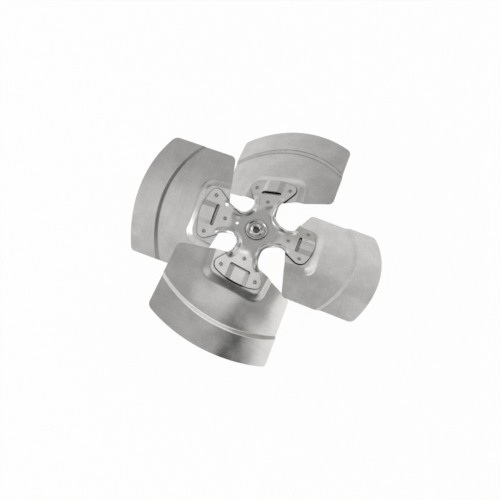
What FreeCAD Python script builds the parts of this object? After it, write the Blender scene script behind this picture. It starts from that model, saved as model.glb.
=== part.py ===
import FreeCAD, Part
import math
import os

Vec = FreeCAD.Vector

# Four-blade axial fan impeller. Lengths in millimetres, angles in degrees.
# The bore is on Z with the front, or swaged, side up; arm 0 points along +X.
# An arm's own frame has x along the arm, s across it and w out of its pitched face.
arm_count = 4
swept_radius = 304.8
pitch = 23.1
arm_rise = 1.5
seat_clearance = 0.08

# Spider: one steel pressing with a flat centre, twisted arms and pitched T-shaped ends.
spider_sheet = 2.5
waist_width = 60.0
window_corner_radius = 25.0
window_corner_turn = 30.0
flare_radius = 30.0
flare_angle = 34.6
twist_end = 71.0
lobe_radius = 15.5

# Rolled lip along the spider's window edges: a bead that fades out on each flare.
lip_width = 14.0
lip_height = 4.8
lip_crest_share = 0.3
lip_full_to = 77.0
lip_ends_at = 92.0
lip_strip_count = 5
lip_section_count = 10
lip_fade_count = 3

# Slot and lanced bridge in each arm end, and the index hole of one arm.
slot_centre = 105.0
slot_spacing = 45.0
slot_width = 7.5
slot_end_radius = 3.7
bridge_height = 4.6
bridge_top_width = 30.0
index_hole_radius = 4.0
index_hole_centre = 48.5
index_arm = 2

# Rivets: one near the root of each arm end and one in each lobe.
inner_rivet_x = 79.4
lobe_rivet_x = 117.7
lobe_rivet_s = 45.0
rivet_shank_radius = 2.4
rivet_hole_clearance = 0.1
clinch_radius = 4.2
clinch_height = 1.3
rivet_head_radius = 4.6
rivet_head_height = 1.5

# Blade: aluminium sheet with single camber, a raised pad at the root and a joggle.
blade_sheet = 1.6
blade_width = 298.0
camber_radius = 600.0
camber_depth = 6.3
camber_depth_at = 141.0
droop = 1.7
root_centre = 73.0
root_edge_angle = 14.0
root_centre_radius = 60.0
joggle_radius = 237.0
joggle_width = 9.0
joggle_height = 4.7
leading_root_radius = 14.0
trailing_root_radius = 11.0
leading_tip_radius = 17.0
trailing_tip_radius = 11.0

# Raised pad that seats against the back of the arm end.
pad_foot_end = 160.0
pad_foot_width = 176.0
pad_width_at = 73.0
pad_taper_angle = 6.0
pad_foot_radius = 30.0
pad_rim_width = 16.0

# Hub: turned steel, swaged into the spider's centre hole.
bore_radius = 7.95
neck_radius = 17.0
barrel_radius = 19.05
barrel_length = 38.0
flange_radius = 25.5
flange_height = 3.2
flange_edge_chamfer = 1.0
flange_land = 1.7
dish_outer_radius = 19.5
dish_inner_radius = 15.5
dish_floor = 0.8
boss_radius = 12.6
boss_height = 2.6
bore_chamfer = 1.2
barrel_chamfer = 1.0

# Two socket set screws, square to each other, in tapped holes across the barrel.
screw_radius = 3.9
screw_hole_clearance = 0.1
screw_length = 9.5
screw_sink = 0.4
screw_from_rear = 11.0
screw_socket_flats = 4.0
screw_socket_depth = 4.0
screw_point_chamfer = 1.4
screw_angles = (45.0, 135.0)

# Sizes that follow from the ones above.
arm_angle = 360.0 / arm_count
pitch_sin = math.sin(math.radians(pitch))
pitch_cos = math.cos(math.radians(pitch))
pitch_tan = math.tan(math.radians(pitch))
seat_depth = spider_sheet * pitch_cos
pad_face = -seat_depth - seat_clearance
half_waist = waist_width / 2
window_centre = half_waist + window_corner_radius
twist_start = window_centre - window_corner_radius * math.sin(math.radians(window_corner_turn))
flare_slope = math.tan(math.radians(flare_angle))
plan_flare = math.atan(flare_slope * pitch_cos)
tip_edge_radius = math.hypot(lobe_rivet_x, lobe_rivet_s) + lobe_radius
half_blade = blade_width / 2

# How far cutters and construction faces run past what they cut, and how close counts as touching.
past = 40.0
far_past = 4 * past
touching = 1e-3


def smooth_step(share):
    """Eased 0 to 1 ramp, level at both ends."""
    t = min(max(share, 0.0), 1.0)
    return t * t * (3.0 - 2.0 * t)


def pitched(x, s, w=0.0):
    """Point of arm 0's own frame, in the impeller's frame."""
    return Vec(x, s * pitch_cos + w * pitch_sin, arm_rise - s * pitch_sin + w * pitch_cos)


def set_in_arm(shape):
    """Copy of a shape built in arm 0's own frame, turned to the pitch and raised."""
    placed = shape.copy()
    placed.rotate(Vec(0, 0, 0), Vec(1, 0, 0), -pitch)
    placed.translate(Vec(0, 0, arm_rise))
    return placed


def around(shape, arm):
    """Copy of a shape of arm 0, turned to another arm."""
    turned = shape.copy()
    turned.rotate(Vec(0, 0, 0), Vec(0, 0, 1), arm * arm_angle)
    return turned


def rounded_wire(corners):
    """Closed wire in the x, s plane through (x, s, radius) corners, each rounded by its radius."""
    edges = []
    ends = []
    count = len(corners)
    for i in range(count):
        before = Vec(corners[i - 1][0], corners[i - 1][1], 0)
        here = Vec(corners[i][0], corners[i][1], 0)
        after = Vec(corners[(i + 1) % count][0], corners[(i + 1) % count][1], 0)
        radius = corners[i][2]
        back = (before - here).normalize()
        ahead = (after - here).normalize()
        half = back.getAngle(ahead) / 2
        reach = radius / math.tan(half)
        start = here + back * reach
        end = here + ahead * reach
        if radius > 0:
            bisector = (back + ahead).normalize()
            middle = here + bisector * (radius / math.sin(half) - radius)
            edges.append(Part.Arc(start, middle, end).toShape())
        ends.append((start, end))
    for i in range(count):
        edges.append(Part.makeLine(ends[i][1], ends[(i + 1) % count][0]))
    return Part.Wire(Part.__sortEdges__(edges))


def prism(wire, low, high):
    """Solid between two heights over a closed wire of the z = 0 plane."""
    face = Part.Face(wire)
    face.translate(Vec(0, 0, low))
    return face.extrude(Vec(0, 0, high - low))


def sheet_from_skin(faces, push):
    """Solid sheet: the front skin, its copy pushed back by the thickness, and the walls between."""
    skin = Part.makeShell(faces)
    skin.sewShape()
    back = skin.copy()
    back.translate(push)
    uses = {}
    for face in skin.Faces:
        for edge in face.Edges:
            uses.setdefault(edge.hashCode(), []).append(edge)
    walls = [found[0].extrude(push) for found in uses.values() if len(found) == 1]
    shell = Part.makeShell(skin.Faces + back.Faces + walls)
    shell.sewShape()
    solid = Part.makeSolid(shell)
    if solid.Volume < 0:
        solid.reverse()
    return solid


# Spider

def lip_profile(n):
    """Height of the rolled lip at distance n in from the window's edge."""
    share = n / lip_width
    wave = (share - lip_crest_share) / (1.0 - lip_crest_share)
    return lip_height * 0.5 * (1.0 + math.cos(math.pi * wave))


def twisted(x, y, height=0.0):
    """Point of the twisting arm at plan position x, y, raised by a height."""
    share = smooth_step((x - twist_start) / (twist_end - twist_start))
    return Vec(x, y, share * (arm_rise - y * pitch_tan) + height)


def flare_start():
    """Plan x where the straight waist gives way to the flare's arc."""
    tangent_x = lobe_rivet_x - lobe_radius * math.sin(math.radians(flare_angle))
    tangent_s = lobe_rivet_s + lobe_radius * math.cos(math.radians(flare_angle))
    corner_x = tangent_x - (tangent_s - half_waist / pitch_cos) / flare_slope
    return corner_x - flare_radius * math.tan(plan_flare / 2)


def rim_station(run):
    """Edge point and inward direction at a run along the window's edge, from the arc's end.

    A run below zero is on the window's corner arc, and above it on the waist and the flare.
    """
    straight = flare_start() - window_centre
    bend = flare_radius * plan_flare
    if run < 0:
        turn = -run / window_corner_radius
        inward = (-math.sin(turn), -math.cos(turn))
        x = window_centre + window_corner_radius * inward[0]
        y = window_centre + window_corner_radius * inward[1]
    elif run < straight:
        inward = (0.0, -1.0)
        x = window_centre + run
        y = half_waist
    elif run < straight + bend:
        turn = (run - straight) / flare_radius
        inward = (math.sin(turn), -math.cos(turn))
        x = flare_start() + flare_radius * inward[0]
        y = half_waist + flare_radius + flare_radius * inward[1]
    else:
        inward = (math.sin(plan_flare), -math.cos(plan_flare))
        onward = run - straight - bend
        x = flare_start() + flare_radius * inward[0] + onward * math.cos(plan_flare)
        y = half_waist + flare_radius * (1 + inward[1]) + onward * math.sin(plan_flare)
    return x, y, inward


def run_to(x):
    """Run along the flare's straight at which the window's edge reaches plan x."""
    straight = flare_start() - window_centre
    bend = flare_radius * plan_flare
    bend_end = flare_start() + flare_radius * math.sin(plan_flare)
    return straight + bend + (x - bend_end) / math.cos(plan_flare)


corner_run = -window_corner_radius * math.radians(window_corner_turn)
full_run = run_to(lip_full_to)
end_run = run_to(lip_ends_at)


def rim_point(run, n, side):
    """Point of the lip's front skin, n in from the edge; side is 1 for trailing, -1 for leading."""
    x, y, inward = rim_station(run)
    fade = 1.0 - smooth_step((run - full_run) / (end_run - full_run))
    return twisted(x + inward[0] * n, side * (y + inward[1] * n), lip_profile(n) * fade)


def strip_places():
    """Distances in from the window's edge at which the lip's strips meet, foot last."""
    return [lip_width * i / lip_strip_count for i in range(lip_strip_count + 1)]


def rim_section(run, side):
    """Cross-section of the lip at a run: one straight edge for each strip, window edge first."""
    points = [rim_point(run, n, side) for n in strip_places()]
    return [Part.makeLine(here, there) for here, there in zip(points, points[1:])]


def rim_curves(first, last, count, side):
    """Smooth edges along the lip between two runs, one at each place where strips meet."""
    runs = [first + (last - first) * i / count for i in range(count + 1)]
    curves = []
    for n in strip_places():
        curve = Part.BSplineCurve()
        curve.interpolate([rim_point(run, n, side) for run in runs])
        curves.append(curve.toShape())
    return curves


def strips(curves):
    """Ruled skin between neighbouring edges."""
    return [Part.makeRuledSurface(here, there) for here, there in zip(curves, curves[1:])]


def lobe_point(turn, side):
    """Point of a lobe's round edge at an angle from the arm's centre line."""
    turn = math.radians(turn)
    return pitched(lobe_rivet_x + lobe_radius * math.cos(turn),
                   side * (lobe_rivet_s + lobe_radius * math.sin(turn)))


def arm_end_face(fades):
    """Flat pitched T of arm 0, bounded by the two fading lips, the lobes and the outer arc.

    Each side's fading lip is given by its edges, of which the last is its foot.
    """
    spoke = math.degrees(math.atan2(lobe_rivet_s, lobe_rivet_x))
    flare_turn = 90.0 + flare_angle
    edges = []
    for side in (-1, 1):
        edges.append(fades[side][-1])
        edges += rim_section(end_run, side)
        tangent = lobe_point(flare_turn, side)
        middle = lobe_point((flare_turn + spoke) / 2, side)
        edges.append(Part.makeLine(rim_point(end_run, 0.0, side), tangent))
        edges.append(Part.Arc(tangent, middle, lobe_point(spoke, side)).toShape())
    outer = pitched(tip_edge_radius, 0.0)
    edges.append(Part.Arc(lobe_point(spoke, -1), outer, lobe_point(spoke, 1)).toShape())
    edges.append(Part.makeLine(*[rim_point(full_run, lip_width, side) for side in (-1, 1)]))
    return Part.Face(Part.Wire(Part.__sortEdges__(edges)))


def arm_skin():
    """Front skin of arm 0 and of the window corner on its trailing side."""
    lips = {side: rim_curves(corner_run, full_run, lip_section_count, side) for side in (-1, 1)}
    fades = {side: rim_curves(full_run, end_run, lip_fade_count, side) for side in (-1, 1)}
    faces = [arm_end_face(fades), Part.makeRuledSurface(lips[-1][-1], lips[1][-1])]
    for side in (-1, 1):
        faces += strips(lips[side]) + strips(fades[side])
    sweep = 90.0 - 2 * window_corner_turn
    pivot = Vec(window_centre, window_centre, 0)
    for edge in rim_section(corner_run, 1):
        faces.append(edge.revolve(pivot, Vec(0, 0, 1), -sweep))
    return faces


def centre_face():
    """Flat centre between the four corner lips and the roots of the arms."""
    foot_radius = window_corner_radius + lip_width
    pivot = Vec(window_centre, window_centre, 0)
    edges = []
    for arm in range(arm_count):
        low = rim_point(corner_run, lip_width, -1)
        high = rim_point(corner_run, lip_width, 1)
        inner = foot_radius * math.cos(math.radians(45.0))
        middle = pivot - Vec(inner, inner, 0)
        across = Vec(high.y, high.x, 0)
        edges.append(around(Part.makeLine(low, high), arm))
        edges.append(around(Part.Arc(high, middle, across).toShape(), arm))
    return Part.Face(Part.Wire(Part.__sortEdges__(edges)))


def rivet_places():
    """Name and place, in the arm's frame, of each rivet of an arm."""
    return (("inner", inner_rivet_x, 0.0),
            ("leading", lobe_rivet_x, -lobe_rivet_s),
            ("trailing", lobe_rivet_x, lobe_rivet_s))


def rivet_holes(low, high):
    """Hole cutters for one arm's rivets, in the arm's frame."""
    radius = rivet_shank_radius + rivet_hole_clearance
    holes = [Part.makeCylinder(radius, high - low, Vec(x, s, low)) for name, x, s in rivet_places()]
    return Part.makeCompound(holes)


def bridge_tools():
    """Cutter that clears the bridge's seat, the lanced bridge and the slot, in the arm's frame."""
    slot_half = (slot_spacing + slot_width) / 2
    top_half = bridge_top_width / 2
    front = [(-slot_half, 0.0), (-top_half, bridge_height), (top_half, bridge_height), (slot_half, 0.0)]
    back = [(s, w - seat_depth) for s, w in reversed(front)]
    points = [Vec(slot_centre, s, w) for s, w in front + back]
    section = Part.Face(Part.makePolygon(points + points[:1]))
    reach = tip_edge_radius - slot_centre
    bar = section.extrude(Vec(reach, 0, 0))
    disc = Part.makeCylinder(tip_edge_radius, 2 * past, Vec(0, 0, -past))
    seat = Part.makeBox(reach, 2 * slot_half, 2 * past, Vec(slot_centre, -slot_half, -past))
    near = slot_centre - slot_width / 2
    far = slot_centre + slot_width / 2
    wire = rounded_wire([(near, -slot_half, slot_end_radius), (far, -slot_half, slot_end_radius),
                         (far, slot_half, slot_end_radius), (near, slot_half, slot_end_radius)])
    return seat, bar.common(disc), prism(wire, -past, past)


def spider():
    """Spider pressing: skin, sheet, bridges, slots and holes."""
    faces = [centre_face()]
    for arm in range(arm_count):
        for face in arm_skin():
            faces.append(around(face, arm))
    body = sheet_from_skin(faces, Vec(0, 0, -spider_sheet))
    seat, bridge, slot = [set_in_arm(tool) for tool in bridge_tools()]
    holes = set_in_arm(rivet_holes(-past, past))
    for arm in range(arm_count):
        body = body.cut(around(seat, arm)).fuse(around(bridge, arm))
        body = body.cut(Part.makeCompound([around(slot, arm), around(holes, arm)]))
    centre_hole = Part.makeCylinder(neck_radius + seat_clearance, 2 * past, Vec(0, 0, -past))
    index_hole = Part.makeCylinder(index_hole_radius, 2 * past, Vec(index_hole_centre, 0, -past))
    return body.cut(Part.makeCompound([centre_hole, around(index_hole, index_arm)])).removeSplitter()


# Blades

def camber_face(lift):
    """Front skin of the cambered sheet, untrimmed, lifted by the joggle or not at all."""
    centre_w = lift - camber_depth
    edge = half_blade + past
    sag = camber_radius - math.sqrt(camber_radius ** 2 - edge ** 2)
    arc = Part.Arc(Vec(0, -edge, centre_w - sag), Vec(0, 0, centre_w), Vec(0, edge, centre_w - sag))
    face = arc.toShape().extrude(Vec(swept_radius + past, 0, 0))
    face.rotate(Vec(camber_depth_at, 0, -camber_depth), Vec(0, 1, 0), droop)
    return face


def swept_cylinder(radius):
    """Solid cylinder about the fan's axis, in the arm's frame."""
    axis = Vec(0, -pitch_sin, pitch_cos)
    cylinder = Part.makeCylinder(radius, 2 * far_past, axis * -far_past, axis)
    cylinder.rotate(Vec(0, 0, 0), axis, 180)
    return cylinder


def root_outline():
    """Plan of the blade blank: a shallow V at the root and straight sides, open past the tip."""
    corner_x = root_centre + half_blade * math.tan(math.radians(root_edge_angle))
    far = swept_radius + past
    return rounded_wire([(root_centre, 0, root_centre_radius),
                         (corner_x, -half_blade, leading_root_radius),
                         (far, -half_blade, 0),
                         (far, half_blade, 0),
                         (corner_x, half_blade, trailing_root_radius)])


def pad_outline(inset):
    """Plan of the pad, open towards the root, drawn in by an inset."""
    taper = math.radians(pad_taper_angle)
    near = root_centre - past
    far = pad_foot_end - inset
    edge_at = pad_foot_width / 2 + math.tan(taper) * pad_width_at - inset / math.cos(taper)
    near_half = edge_at - math.tan(taper) * near
    far_half = edge_at - math.tan(taper) * far
    radius = pad_foot_radius - inset
    return rounded_wire([(near, -near_half, 0), (far, -far_half, radius),
                         (far, far_half, radius), (near, near_half, 0)])


def edges_on(face, guide):
    """Edges of a face that lie on a guide shape, in order across the blade."""
    found = []
    for edge in face.Edges:
        middle = edge.valueAt((edge.FirstParameter + edge.LastParameter) / 2)
        ends = [vertex.Point for vertex in edge.Vertexes] + [middle]
        if all(Part.Vertex(point).distToShape(guide)[0] < touching for point in ends):
            found.append((middle.y, edge))
    return [edge for place, edge in sorted(found, key=lambda pair: pair[0])]


def tip_outline(blank):
    """Blade blank cut round at the swept radius, with its two outer corners rounded."""
    tool = blank.common(swept_cylinder(swept_radius))
    for side, radius in ((-1, leading_tip_radius), (1, trailing_tip_radius)):
        sides = [edge for edge in tool.Edges
                 if edge.Length > far_past
                 and abs(side * edge.CenterOfMass.y - half_blade) < touching]
        corner = max(sides, key=lambda edge: edge.CenterOfMass.x)
        tool = tool.makeFillet(radius, [corner])
    return tool


def blade():
    """Blade of arm 0, in the arm's frame: camber, joggle, raised pad and rounded corners."""
    blank = prism(root_outline(), -far_past, far_past)
    foot = prism(pad_outline(0.0), -far_past, far_past)
    joggle_foot = swept_cylinder(joggle_radius)
    joggle_top = swept_cylinder(joggle_radius + joggle_width)
    inner = camber_face(0.0).common(blank).common(joggle_foot).cut(foot).Faces[0]
    outer = camber_face(joggle_height).common(tip_outline(blank)).cut(joggle_top).Faces[0]
    pad_edge = pad_outline(pad_rim_width)
    pad_edge.translate(Vec(0, 0, pad_face))
    pad = Part.Face(pad_edge).common(blank).Faces[0]
    faces = [inner, outer, pad]
    pairs = list(zip(edges_on(inner, joggle_foot.Faces[0]), edges_on(outer, joggle_top.Faces[0])))
    pairs += list(zip(edges_on(inner, Part.makeShell(foot.Faces)), edges_on(pad, pad_edge)))
    for low, high in pairs:
        faces.append(Part.makeRuledSurface(low, high))
    return sheet_from_skin(faces, Vec(0, 0, -blade_sheet)).cut(rivet_holes(-past, past))


# Hub, set screws and rivets

def turned(profile):
    """Solid of revolution about Z of a closed profile of r, z points."""
    points = [Vec(r, 0, z) for r, z in profile]
    face = Part.Face(Part.makePolygon(points + points[:1]))
    return face.revolve(Vec(0, 0, 0), Vec(0, 0, 1), 360)


def screw_axis_height():
    """Height of the set screws' axes."""
    return -spider_sheet - seat_clearance - barrel_length + screw_from_rear


def laid_radially(shape, angle):
    """Copy of a shape built up Z, laid so that Z points outward at an angle in the screws' plane."""
    laid = shape.copy()
    laid.rotate(Vec(0, 0, 0), Vec(0, 1, 0), 90)
    laid.rotate(Vec(0, 0, 0), Vec(0, 0, 1), angle)
    laid.translate(Vec(0, 0, screw_axis_height()))
    return laid


def hub():
    """Hub: barrel behind the spider, neck through it and swaged, dished flange in front."""
    shoulder = -spider_sheet - seat_clearance
    rear = shoulder - barrel_length
    rim = flange_radius - flange_edge_chamfer
    body = turned([
        (bore_radius, rear + bore_chamfer),
        (bore_radius + bore_chamfer, rear),
        (barrel_radius - barrel_chamfer, rear),
        (barrel_radius, rear + barrel_chamfer),
        (barrel_radius, shoulder),
        (neck_radius, shoulder),
        (neck_radius, seat_clearance),
        (flange_radius, seat_clearance),
        (flange_radius, flange_height - flange_edge_chamfer),
        (rim, flange_height),
        (rim - flange_land, flange_height),
        (dish_outer_radius, dish_floor),
        (dish_inner_radius, dish_floor),
        (boss_radius, boss_height),
        (bore_radius + bore_chamfer, boss_height),
        (bore_radius, boss_height - bore_chamfer),
    ])
    hole = Part.makeCylinder(screw_radius + screw_hole_clearance, barrel_radius + past)
    for angle in screw_angles:
        body = body.cut(laid_radially(hole, angle))
    return body


def set_screw(angle):
    """Socket set screw with a chamfered point, backed off clear of the bore."""
    outer = barrel_radius - screw_sink
    inner = outer - screw_length
    body = turned([(0, inner), (screw_radius - screw_point_chamfer, inner),
                   (screw_radius, inner + screw_point_chamfer), (screw_radius, outer), (0, outer)])
    half_flats = screw_socket_flats / 2
    corner_radius = half_flats / math.cos(math.radians(30))
    turns = [math.radians(turn) for turn in range(0, 360, 60)]
    corners = [Vec(corner_radius * math.cos(t), corner_radius * math.sin(t), 0) for t in turns]
    mouth = outer + screw_sink
    socket = prism(Part.makePolygon(corners + corners[:1]), outer - screw_socket_depth, mouth)
    return laid_radially(body.cut(socket), angle)


def rivet():
    """Tubular rivet up w: head behind the blade, shank, and rolled clinch on the spider's front."""
    back = pad_face - blade_sheet - seat_clearance
    front = seat_clearance
    return turned([
        (0, back - rivet_head_height),
        (rivet_head_radius, back - rivet_head_height),
        (rivet_head_radius, back),
        (rivet_shank_radius, back),
        (rivet_shank_radius, front),
        (clinch_radius, front),
        (clinch_radius, clinch_height),
        (0, clinch_height),
    ])


def write(node, shape):
    """Writes one node's STEP file."""
    if len(shape.Solids) != 1 or not shape.isValid():
        print("check", node, "solids", len(shape.Solids), "valid", shape.isValid())
    shape.exportStep("parts/" + node + ".step")


def main():
    """Builds every node and writes its file."""
    os.makedirs("parts", exist_ok=True)
    write("spider", spider())
    write("hub", hub())
    for number, angle in enumerate(screw_angles, start=1):
        write("set_screw_" + str(number), set_screw(angle))
    blade_shape = set_in_arm(blade())
    rivet_shape = rivet()
    for arm in range(arm_count):
        number = str(arm + 1)
        write("blade_" + number, around(blade_shape, arm))
        for name, x, s in rivet_places():
            placed = rivet_shape.copy()
            placed.translate(Vec(x, s, 0))
            write("rivet_" + number + "_" + name, around(set_in_arm(placed), arm))


main()
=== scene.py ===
"""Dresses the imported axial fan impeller, and builds the studio round it.

The pressed sheets are modelled again as fine meshes with real bend radii, from the same sizes as
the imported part, because bright metal shows every facet. Lengths are in millimetres until a mesh
is made, angles in degrees, and each arm has a frame of its own: x along the arm, s across it and
w out of its pitched face.
"""

import logging
import math
from dataclasses import dataclass, field
from enum import Enum
from typing import Callable, Mapping, Sequence

import bpy
import numpy as np
from mathutils import Euler, Matrix, Vector
from mathutils.geometry import delaunay_2d_cdt


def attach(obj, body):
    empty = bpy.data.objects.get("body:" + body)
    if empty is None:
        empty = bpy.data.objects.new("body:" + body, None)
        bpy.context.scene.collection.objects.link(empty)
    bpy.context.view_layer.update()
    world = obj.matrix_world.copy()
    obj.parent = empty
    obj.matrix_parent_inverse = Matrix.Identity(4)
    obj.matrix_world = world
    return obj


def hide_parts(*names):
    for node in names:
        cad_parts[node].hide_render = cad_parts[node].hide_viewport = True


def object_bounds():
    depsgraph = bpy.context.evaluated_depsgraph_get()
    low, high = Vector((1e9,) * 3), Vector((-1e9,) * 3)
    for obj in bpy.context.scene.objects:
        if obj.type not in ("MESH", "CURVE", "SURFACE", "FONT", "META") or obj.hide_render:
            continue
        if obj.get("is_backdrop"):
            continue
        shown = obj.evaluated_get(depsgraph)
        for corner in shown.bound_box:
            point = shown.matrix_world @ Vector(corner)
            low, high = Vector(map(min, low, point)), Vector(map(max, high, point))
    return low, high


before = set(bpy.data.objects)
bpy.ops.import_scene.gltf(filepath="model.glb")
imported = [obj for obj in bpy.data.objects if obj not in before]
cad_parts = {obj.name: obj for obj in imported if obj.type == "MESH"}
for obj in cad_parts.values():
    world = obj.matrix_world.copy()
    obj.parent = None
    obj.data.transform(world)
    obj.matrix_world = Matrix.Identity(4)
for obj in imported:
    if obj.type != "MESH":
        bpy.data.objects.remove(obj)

log = logging.getLogger("impeller")

MM = 0.001
SHARP_ANGLE = math.radians(40)  # faces that meet at more than this keep a sharp edge
SHORTEST_RUN = 1e-6  # shorter runs of a loop are left out
EDGE_GAP = 0.62  # clear strip along a sheet's edges, as a share of its points' spacing
MERGE_DISTANCE = 1e-7  # points of a plan that are closer than this become one
NORMAL_STEP = 0.05  # step over a plan from which a skin's normals are found
BATCH = 2000  # points that are compared at once
SETTLING_ROUNDS = 6  # rounds in which a blade's reach settles to well under a micrometre
WHITE = (1.0, 1.0, 1.0, 1.0)
ZINC_PAINTED_SHADE = "#1A1918"  # colour of the painted shade in the hollows of plated steel
NOISE_LOW = 0.35  # most of a noise's values lie between these two
NOISE_HIGH = 0.65

Array = np.ndarray
Point = tuple[float, float]
Loop = list[Point]
Loops = Sequence[Loop]  # a sheet's outline, then the edges of its holes
Skin = Callable[[Array], Array]
Socket = bpy.types.NodeSocket
Tree = bpy.types.NodeTree
Mesh = bpy.types.Mesh
Material = bpy.types.Material


class Slot(Enum):
    """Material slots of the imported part."""

    BLADE = "blade_sheet"
    SPIDER = "spider_steel"
    HUB = "hub_steel"
    RIVET = "rivet_steel"


# Small tools for meshes

def smooth_step(share: Array) -> Array:
    """Eased 0 to 1 ramp, level at both ends.

    Args:
        share: Place along the ramp, 0 at its foot and 1 at its top.

    Returns:
        The height, from 0 to 1.
    """
    t = np.clip(share, 0.0, 1.0)
    return t * t * (3.0 - 2.0 * t)


def bent_ramp(share: Array, rounding: float) -> Array:
    """Straight 0 to 1 ramp whose two bends are rounded, as a press tool's radii leave them.

    Args:
        share: Place along the ramp, 0 at its foot and 1 at its top.
        rounding: Half the length of each rounded bend, as a share of the ramp.

    Returns:
        The height as a share of the full step.
    """
    foot = np.clip((share + rounding) / (2.0 * rounding), 0.0, 1.0)
    top = np.clip((share - 1.0 + rounding) / (2.0 * rounding), 0.0, 1.0)
    before = rounding * foot ** 2
    after = rounding * top ** 2
    rise = np.clip(share - rounding, 0.0, 1.0 - 2.0 * rounding)
    return before + rise + (2.0 * rounding * top - after)


def arc(centre: Point, radius: float, start: float, end: float, step: float) -> Loop:
    """Points along an arc.

    Args:
        centre: Centre of the arc.
        radius: Its radius.
        start: Angle of its first point, in degrees.
        end: Angle of its last point, in degrees.
        step: Largest distance between two points.

    Returns:
        The points, both ends included.
    """
    count = max(2, math.ceil(radius * math.radians(abs(end - start)) / step))
    turns = [math.radians(start + (end - start) * i / count) for i in range(count + 1)]
    return [(centre[0] + radius * math.cos(t), centre[1] + radius * math.sin(t)) for t in turns]


def filled(points: Loop, step: float) -> Loop:
    """Closed loop through some points, with its long runs divided.

    Args:
        points: Corners of the loop, in order.
        step: Largest distance between two points.

    Returns:
        The loop's points, without a repeat of the first.
    """
    loop: Loop = []
    for here, there in zip(points, points[1:] + points[:1]):
        length = math.dist(here, there)
        if length < SHORTEST_RUN:
            continue
        count = max(1, math.ceil(length / step))
        for i in range(count):
            share = i / count
            loop.append((here[0] + (there[0] - here[0]) * share,
                         here[1] + (there[1] - here[1]) * share))
    return loop


def rounded(corners: Sequence[tuple[float, float, float]], step: float) -> Loop:
    """Closed loop through x, s, radius corners, each rounded by its radius.

    Args:
        corners: The corners, in order.
        step: Largest distance between two points.

    Returns:
        The loop's points.
    """
    points: Loop = []
    count = len(corners)
    for i in range(count):
        here = Vector(corners[i][:2])
        back = (Vector(corners[i - 1][:2]) - here).normalized()
        ahead = (Vector(corners[(i + 1) % count][:2]) - here).normalized()
        radius = corners[i][2]
        if radius == 0:
            points.append(tuple(here))
            continue
        half = back.angle(ahead) / 2
        centre = here + (back + ahead).normalized() * (radius / math.sin(half))
        start = here + back * (radius / math.tan(half)) - centre
        end = here + ahead * (radius / math.tan(half)) - centre
        first = math.degrees(math.atan2(start.y, start.x))
        turn = math.degrees(math.atan2(end.y, end.x)) - first
        turn = (turn + 180.0) % 360.0 - 180.0
        points += arc(tuple(centre), radius, first, first + turn, step)
    return filled(points, step)


def inside(points: Array, loop: Loop) -> Array:
    """Which points lie inside a loop, by counting the edges that a ray crosses.

    Args:
        points: The points of a plan.
        loop: The closed loop.

    Returns:
        True for each point inside.
    """
    corners = np.array(loop)
    ends = np.roll(corners, -1, axis=0)
    found = np.zeros(len(points), bool)
    for (x0, y0), (x1, y1) in zip(corners, ends):
        if y0 == y1:
            continue
        spans = (points[:, 1] > min(y0, y1)) & (points[:, 1] <= max(y0, y1))
        crossing = x0 + (points[:, 1] - y0) * (x1 - x0) / (y1 - y0)
        found ^= spans & (points[:, 0] < crossing)
    return found


def turned(points: Loop, angle: float) -> Loop:
    """Points turned about the origin by an angle in degrees."""
    cos = math.cos(math.radians(angle))
    sin = math.sin(math.radians(angle))
    return [(x * cos - y * sin, x * sin + y * cos) for x, y in points]


def in_sheet(points: Array, loops: Loops) -> Array:
    """Which points lie in a sheet's material.

    Args:
        points: The points of a plan.
        loops: The sheet's loops.

    Returns:
        True for each point inside the outline and outside the holes.
    """
    found = inside(points, loops[0])
    for hole in loops[1:]:
        found &= ~inside(points, hole)
    return found


def clear_of(points: Array, loops: Loops, gap: float) -> Array:
    """Which points are further than a gap from every point of some loops.

    Args:
        points: The points of a plan.
        loops: The loops to keep away from.
        gap: Distance to keep.

    Returns:
        True for each point that is clear.
    """
    keep = np.ones(len(points), bool)
    marks = np.array([point for loop in loops for point in loop])
    for first in range(0, len(points), BATCH):
        part = points[first:first + BATCH]
        apart = ((part[:, None, :] - marks[None, :, :]) ** 2).sum(axis=2).min(axis=1)
        keep[first:first + BATCH] = apart > gap ** 2
    return keep


def even_grid(loops: Loops, spacing: float) -> Array:
    """Evenly spaced points that fill a sheet's plan in staggered rows.

    Args:
        loops: The sheet's loops.
        spacing: Distance between neighbouring points.

    Returns:
        The points, none of them close to an edge.
    """
    edge = np.array(loops[0])
    low = edge.min(axis=0)
    high = edge.max(axis=0)
    row_height = spacing * math.sin(math.radians(60))
    rows = []
    for j, y in enumerate(np.arange(low[1], high[1], row_height)):
        xs = np.arange(low[0] + (j % 2) * spacing / 2, high[0], spacing)
        rows.append(np.column_stack([xs, np.full(len(xs), y)]))
    grid = np.vstack(rows)
    grid = grid[in_sheet(grid, loops)]
    return grid[clear_of(grid, loops, spacing * EDGE_GAP)]


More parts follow.
